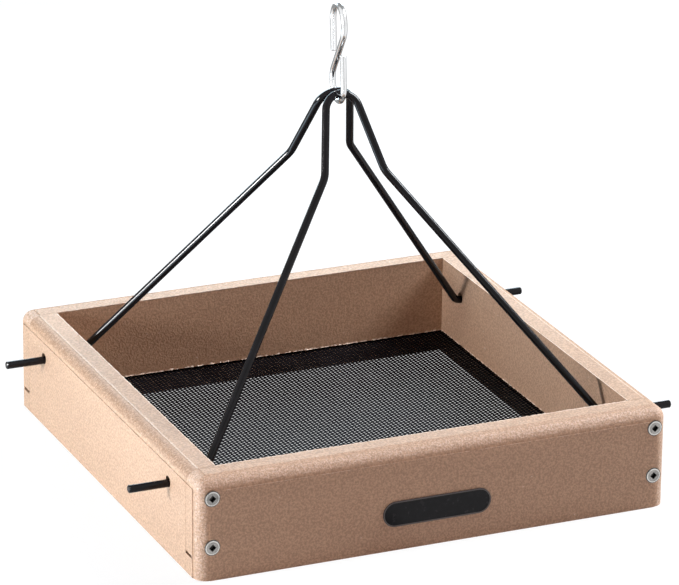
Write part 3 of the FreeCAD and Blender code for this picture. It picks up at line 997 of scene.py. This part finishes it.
@dataclass
class SawnTray:
    """Where the saw and the cutter left torn plastic: inner top edges, kerf and round-over.

    The worn brow is the edge between a long board's flat top and its round, which has no step
    left. The brow of a short board still has its step, with a torn edge.
    """

    half: float = 152.5 * MM
    thick: float = 18.5 * MM
    height: float = 64.0 * MM
    kerf_top: float = 13.7 * MM
    reach: float = 7.9 * MM
    end_gap: float = 0.3 * MM
    sunk: float = 0.05 * MM
    lip: float = 0.60 * MM
    lip_rise: float = 0.5
    lip_out: float = 0.7
    lip_ragged: float = 0.75
    chip: float = 0.75 * MM
    chip_rise: float = 0.2
    chip_back: float = 1.6
    chip_ragged: float = 1.35
    fuzz: float = 0.32 * MM
    fuzz_out: float = 0.6
    fuzz_ragged: float = 1.2
    brow_drop: float = 0.42 * MM
    brow_run: float = 0.85 * MM
    brow_back: float = 0.3 * MM
    brow_fall: float = 0.8
    brow_ragged: float = 0.35
    worn_run: float = 2.0 * MM
    worn_drop: float = 0.70 * MM
    worn_lift: float = 0.12 * MM
    seed: int = 3
    worn_seed: int = 13

    def sides(self) -> list[Side]:
        """Lists the tray's sides.

        Returns:
            The four sides, in the order of their seeds.
        """
        x, y = Vector((1, 0, 0)), Vector((0, 1, 0))
        return [
            Side("front", -y, x, True),
            Side("rear", y, x, True),
            Side("left", -x, y, False),
            Side("right", x, y, False),
        ]

    def inner_edges(self, side: Side) -> list[TornEdge]:
        """Makes the torn edges on a board's inner face, where the saw came through.

        Args:
            side: The board's side of the tray.

        Returns:
            The beads along its top edge and along its kerf.
        """
        out = side.out
        inner = self.half - self.thick
        face = out * inner
        run = side.along * (inner - self.end_gap)
        top = face + UP * self.height
        saw = face + UP * self.kerf_top
        return [
            TornEdge(
                top - run,
                top + run,
                out * self.lip - UP * self.sunk,
                UP * self.lip * self.lip_rise - out * self.lip * self.lip_out,
                out * self.sunk - UP * self.lip,
                self.lip_ragged,
            ),
            TornEdge(
                saw - run,
                saw + run,
                out * self.sunk - UP * self.sunk,
                UP * self.chip * self.chip_rise - out * self.chip,
                out * self.sunk + UP * self.chip * self.chip_back,
                self.chip_ragged,
            ),
        ]

    def round_ends(self, side: Side) -> tuple[Vector, Vector, Vector]:
        """Finds where a board's round-over ends below and above, and how far it runs.

        Args:
            side: The board's side of the tray.

        Returns:
            The middle of its lower edge and of its upper edge, and from there to their ends.
        """
        out = side.out
        ledge = out * self.half + UP * (self.height - self.reach)
        brow = out * (self.half - self.reach) + UP * self.height
        inner = self.half - self.thick
        run = self.half - self.reach if side.full_width else inner - self.end_gap
        return ledge, brow, side.along * run

    def ledge_edge(self, side: Side) -> TornEdge:
        """Makes the torn edge below a board's round-over.

        Args:
            side: The board's side of the tray.

        Returns:
            The bead.
        """
        out = side.out
        ledge, _, run = self.round_ends(side)
        return TornEdge(
            ledge - run,
            ledge + run,
            UP * -self.fuzz - out * self.sunk,
            (UP + out) * self.fuzz * self.fuzz_out,
            out * -self.fuzz - UP * self.sunk,
            self.fuzz_ragged,
        )

    def brow_edge(self, side: Side) -> TornEdge:
        """Makes the edge above a board's round-over: worn on a long board, torn on a short one.

        Args:
            side: The board's side of the tray.

        Returns:
            The bead.
        """
        out = side.out
        _, brow, run = self.round_ends(side)
        first = UP * -self.brow_drop - out * self.sunk
        if side.full_width:
            tip = out * self.worn_run - UP * self.worn_drop
            last = UP * self.worn_lift - out * self.brow_back
            return TornEdge(brow - run, brow + run, first, tip, last, 0.0)
        tip = out * self.brow_run - UP * self.brow_drop * self.brow_fall
        last = UP * self.sunk - out * self.brow_back
        return TornEdge(brow - run, brow + run, first, tip, last, self.brow_ragged)

    def build(self) -> list[bpy.types.Object]:
        """Makes the torn edges of each board, and the worn brow of each long board.

        Returns:
            The six pieces.
        """
        material = TornPlastic().material()
        # The worn brow takes the long boards' pale rounds, partly painted light.
        worn_plastic = BoardPlastic(Grain.ALONG_X, raised=0.5, sunk=0.1).material()
        pieces = []
        for number, side in enumerate(self.sides()):
            edges = self.inner_edges(side) + [self.ledge_edge(side)]
            brow = self.brow_edge(side)
            if side.full_width:
                worn = TornEdges(f"{side.name}_board_worn_brow", [brow], self.worn_seed + number)
                pieces.append(worn.build(worn_plastic))
            else:
                edges.append(brow)
            torn = TornEdges(f"{side.name}_board_torn_edges", edges, self.seed + number)
            pieces.append(torn.build(material))
        return pieces


@dataclass
class Metalwork:
    """The rods, the hook, the screws and the badge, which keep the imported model's shapes."""

    nodes: dict[str, bpy.types.Object]

    def dress(self) -> None:
        """Gives each piece its coating or metal."""
        rod = RodCoating().material()
        for name in ("front_hanger", "rear_hanger"):
            dress(self.nodes[name], rod)
        dress(self.nodes["s_hook"], BrightZinc().material())
        dress(self.nodes["badge"], BadgeBlack().material())
        steel = StainlessSteel().material()
        for name in sorted(self.nodes):
            if name.startswith("screw_"):
                dress(self.nodes[name], steel)


@dataclass(frozen=True)
class AreaLamp:
    """A soft box that looks at a point, which may be left out of mirrors or of dull faces."""

    name: str
    place: tuple[float, float, float]
    aim: tuple[float, float, float]
    size: tuple[float, float]
    power: float
    colour: Colour = (1.0, 1.0, 1.0)
    on_mirrors: bool = True
    on_dull: bool = True

    def build(self) -> bpy.types.Object:
        """Makes the lamp.

        Returns:
            The lamp's object.
        """
        light = bpy.data.lights.new(self.name, "AREA")
        light.shape = "RECTANGLE"
        light.size, light.size_y = self.size
        light.energy = self.power
        light.color = self.colour
        lamp = bpy.data.objects.new(self.name, light)
        lamp.location = self.place
        way = Vector(self.aim) - Vector(self.place)
        lamp.rotation_euler = way.to_track_quat("-Z", "Y").to_euler()
        lamp.visible_camera = False
        lamp.visible_glossy = self.on_mirrors
        lamp.visible_diffuse = self.on_dull
        bpy.context.collection.objects.link(lamp)
        return lamp


TRAY_MIDDLE = (0.0, 0.0, 0.05)
LAMPS = (
    AreaLamp(
        "left_low",
        place=(-0.42, 0.0, 0.06),
        aim=(0.0, 0.0, 0.06),
        size=(0.50, 0.10),
        power=1.15,
        colour=(0.68, 0.86, 1.0),
    ),
    AreaLamp(
        "left_key",
        place=(-1.15, -0.05, 0.34),
        aim=TRAY_MIDDLE,
        size=(0.14, 0.14),
        power=9.3,
        colour=(0.965, 0.93, 0.925),
    ),
    AreaLamp(
        "right_far",
        place=(1.6, -0.1, 1.5),
        aim=TRAY_MIDDLE,
        size=(0.8, 0.8),
        power=82.0,
        colour=(0.90, 0.945, 1.0),
    ),
    AreaLamp(
        "front_left",
        place=(-0.45, -0.55, 0.60),
        aim=(-0.05, -0.1, 0.05),
        size=(0.3, 0.3),
        power=0.43,
        colour=(1.0, 0.37, 0.17),
        on_mirrors=False,
    ),
    AreaLamp(
        "back_near",
        place=(0.12, 0.70, 0.36),
        aim=TRAY_MIDDLE,
        size=(0.90, 0.30),
        power=6.1,
        colour=(0.68, 0.88, 1.0),
    ),
    AreaLamp(
        "front_fill",
        place=(0.35, -1.70, 0.45),
        aim=TRAY_MIDDLE,
        size=(1.2, 0.9),
        power=1.74,
        colour=(1.0, 0.25, 0.05),
        on_mirrors=False,
    ),
    AreaLamp(
        "rod_glint",
        place=(-1.45, 0.09, 0.47),
        aim=(0.0, 0.0, 0.15),
        size=(0.45, 0.45),
        power=42.0,
        on_dull=False,
    ),
)


@dataclass
class Studio:
    """A pale floor, white surroundings and soft lamps."""

    floor_half: float = 6.0
    floor_glow: float = 0.90
    floor_tone: float = 0.12
    floor_base: float = 0.62
    ambient: float = 0.02

    def floor(self) -> bpy.types.Object:
        """Makes the floor, white to the camera and to mirrors, with a faint shadow.

        Returns:
            The floor's object.
        """
        mesh = bmesh.new()
        bmesh.ops.create_grid(mesh, x_segments=1, y_segments=1, size=self.floor_half)
        floor = as_object("floor", mesh)
        material = bpy.data.materials.new("floor_white")
        material.use_nodes = True
        nodes = Surroundings(material.node_tree)
        glossy, shown = nodes.shown()
        plain = nodes.into("ShaderNodeBsdfDiffuse", (*[self.floor_base] * 3, 1.0))
        faint = nodes.into("ShaderNodeBsdfDiffuse", (*[self.floor_tone] * 3, 1.0))
        glow = nodes.into("ShaderNodeEmission", CLEAR, self.floor_glow)
        seen = nodes.into("ShaderNodeAddShader", faint.outputs[0], glow.outputs[0])
        room = nodes.into("ShaderNodeEmission", CLEAR, nodes.mirrored(nodes.coords))
        white = nodes.into("ShaderNodeMixShader", glossy, seen.outputs[0], room.outputs[0])
        choice = nodes.into("ShaderNodeMixShader", shown, plain.outputs[0], white.outputs[0])
        nodes.into("ShaderNodeOutputMaterial", choice.outputs[0])
        floor.data.materials.append(material)
        return floor

    def surroundings(self) -> None:
        """Makes the world: white to the camera and to mirrors, and nearly dark as a light."""
        world = bpy.data.worlds.new("surroundings")
        world.use_nodes = True
        nodes = Surroundings(world.node_tree)
        ways = nodes.tree.nodes.new("ShaderNodeTexCoord").outputs["Generated"]
        glossy, shown = nodes.shown()
        even = nodes.into("ShaderNodeBackground", CLEAR, self.ambient)
        plain = nodes.into("ShaderNodeBackground", CLEAR, 1.0)
        room = nodes.into("ShaderNodeBackground", CLEAR, nodes.mirrored(ways))
        white = nodes.into("ShaderNodeMixShader", glossy, plain.outputs[0], room.outputs[0])
        choice = nodes.into("ShaderNodeMixShader", shown, even.outputs[0], white.outputs[0])
        nodes.into("ShaderNodeOutputWorld", choice.outputs[0])
        bpy.context.scene.world = world

    def lamps(self) -> list[bpy.types.Object]:
        """Makes the soft boxes, and returns the lamps' objects."""
        return [lamp.build() for lamp in LAMPS]


@dataclass(frozen=True)
class Viewpoint:
    """The photograph's camera, looking down at the tray from its front left."""

    azimuth: float = math.radians(-23.62)
    elevation: float = math.radians(20.661)
    roll: float = math.radians(0.585)
    aim: tuple[float, float, float] = (-12.28 * MM, -33.3 * MM, 119.09 * MM)
    distance: float = 2803.3 * MM
    focal_pixels: float = 4632.8
    far_clip: float = 100.0

    def build(self) -> bpy.types.Object:
        """Makes the camera and hands it to the scene.

        Returns:
            The camera's object.
        """
        back = Vector(
            (
                math.sin(self.azimuth) * math.cos(self.elevation),
                -math.cos(self.azimuth) * math.cos(self.elevation),
                math.sin(self.elevation),
            )
        )
        right = Vector((math.cos(self.azimuth), math.sin(self.azimuth), 0.0))
        up = back.cross(right)
        turn = Matrix.Rotation(self.roll, 3, back)
        right = turn @ right
        up = turn @ up
        data = bpy.data.cameras.new("camera")
        data.sensor_width = SENSOR_MM
        data.sensor_fit = "HORIZONTAL"
        data.lens = self.focal_pixels / IMAGE_WIDTH * SENSOR_MM
        data.clip_end = self.far_clip
        camera = bpy.data.objects.new("camera", data)
        axes = Matrix((right, up, back)).transposed().to_4x4()
        camera.matrix_world = Matrix.Translation(Vector(self.aim) + back * self.distance) @ axes
        bpy.context.collection.objects.link(camera)
        bpy.context.scene.camera = camera
        return camera


def main() -> None:
    """Builds the pieces in order, then the studio and the camera."""
    logging.basicConfig(level=logging.INFO, format="%(message)s")
    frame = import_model()
    nodes = frame["nodes"]
    Tray(nodes).dress()
    LOG.info("boards dressed")
    for piece in PerforatedScreen().build() + SawnTray().build():
        LOG.info("%s: %d faces", piece.name, len(piece.data.polygons))
    Metalwork(nodes).dress()
    LOG.info("rods, hook, screws and badge dressed")
    studio = Studio()
    studio.floor()
    studio.surroundings()
    for lamp in studio.lamps():
        LOG.info("%s set", lamp.name)
    Viewpoint().build()
    bpy.context.scene.view_settings.view_transform = "Standard"


if __name__ == "__main__":
    main()
